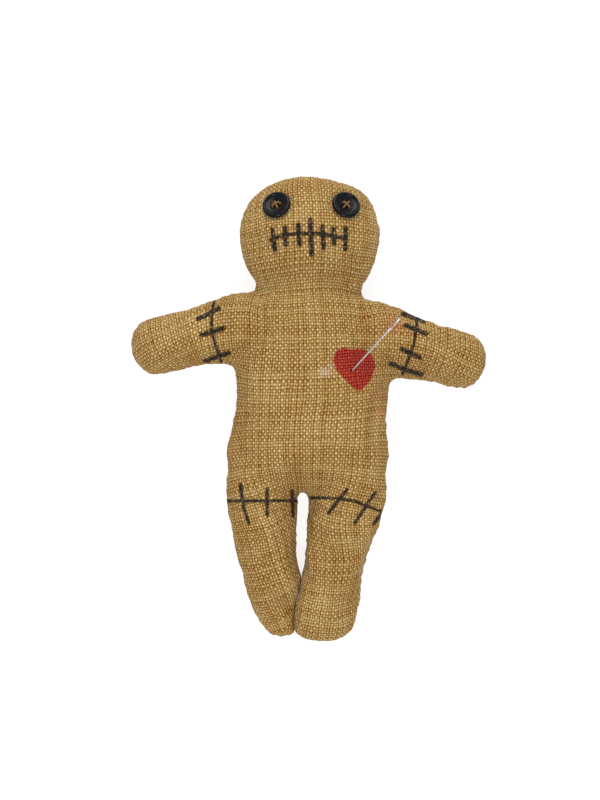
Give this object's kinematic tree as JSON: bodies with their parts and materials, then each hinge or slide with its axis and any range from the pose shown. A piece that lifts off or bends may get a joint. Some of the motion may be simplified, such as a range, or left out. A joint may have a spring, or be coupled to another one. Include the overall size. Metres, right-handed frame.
{
  "type": "voodoo doll",
  "caption": "Stuffed burlap voodoo doll on its back, with button eyes, drawn stitches, a painted heart and a darning needle in its chest; its head, arms and legs bend.",
  "frame": {"origin": "middle of the doll's box, on the table that it lies on", "axes": "+X towards the doll's left arm, which is on the viewer's right, +Y towards the head, +Z towards the doll's front, which faces up"},
  "size_m": [0.1924, 0.252, 0.0601],
  "materials": {
    "burlap": "matt, coarse plain weave",
    "fibre_filling": "matt, loose fibre",
    "button_plastic": "glossy",
    "button_thread": "matt, twisted",
    "needle_steel": "polished"
  },
  "bodies": {
    "torso": {"torso_front_panel": "burlap", "torso_back_panel": "burlap", "torso_filling": "fibre_filling"},
    "head": {"head_front_panel": "burlap", "head_back_panel": "burlap", "head_filling": "fibre_filling", "eye_button_left": "button_plastic", "eye_button_right": "button_plastic", "button_tie_left": "button_thread", "button_tie_right": "button_thread"},
    "arm_left": {"arm_left_front_panel": "burlap", "arm_left_back_panel": "burlap", "arm_left_filling": "fibre_filling"},
    "arm_right": {"arm_right_front_panel": "burlap", "arm_right_back_panel": "burlap", "arm_right_filling": "fibre_filling"},
    "leg_left": {"leg_left_front_panel": "burlap", "leg_left_back_panel": "burlap", "leg_left_filling": "fibre_filling"},
    "leg_right": {"leg_right_front_panel": "burlap", "leg_right_back_panel": "burlap", "leg_right_filling": "fibre_filling"},
    "needle": {"needle": "needle_steel"}
  },
  "joints": [
    {"name": "neck_nod", "type": "hinge", "parent": "torso", "child": "head", "pos_m": [0.00077, 0.06266, 0.023], "axis": [1, 0, 0], "range_deg": [-15, 30], "stiffness_Nm_per_rad": 0.3},
    {"name": "shoulder_left_swing", "type": "hinge", "parent": "torso", "child": "arm_left", "pos_m": [0.05477, 0.03336, 0.023], "axis": [-0.2419, -0.9703, 0], "range_deg": [-15, 60], "stiffness_Nm_per_rad": 0.12},
    {"name": "shoulder_right_swing", "type": "hinge", "parent": "torso", "child": "arm_right", "pos_m": [-0.05153, 0.04056, 0.023], "axis": [-0.2079, 0.9781, 0], "range_deg": [-15, 60], "stiffness_Nm_per_rad": 0.12},
    {"name": "hip_left_swing", "type": "hinge", "parent": "torso", "child": "leg_left", "pos_m": [0.01878, -0.05384, 0.023], "axis": [-1, 0, 0], "range_deg": [-10, 70], "stiffness_Nm_per_rad": 0.16},
    {"name": "hip_right_swing", "type": "hinge", "parent": "torso", "child": "leg_right", "pos_m": [-0.02442, -0.05384, 0.023], "axis": [-1, 0, 0], "range_deg": [-10, 70], "stiffness_Nm_per_rad": 0.16},
    {"name": "needle_pull", "type": "slide", "parent": "torso", "child": "needle", "axis": [0.6064, 0.6735, 0.4226], "range_m": [-0.008, 0.05]}
  ]
}
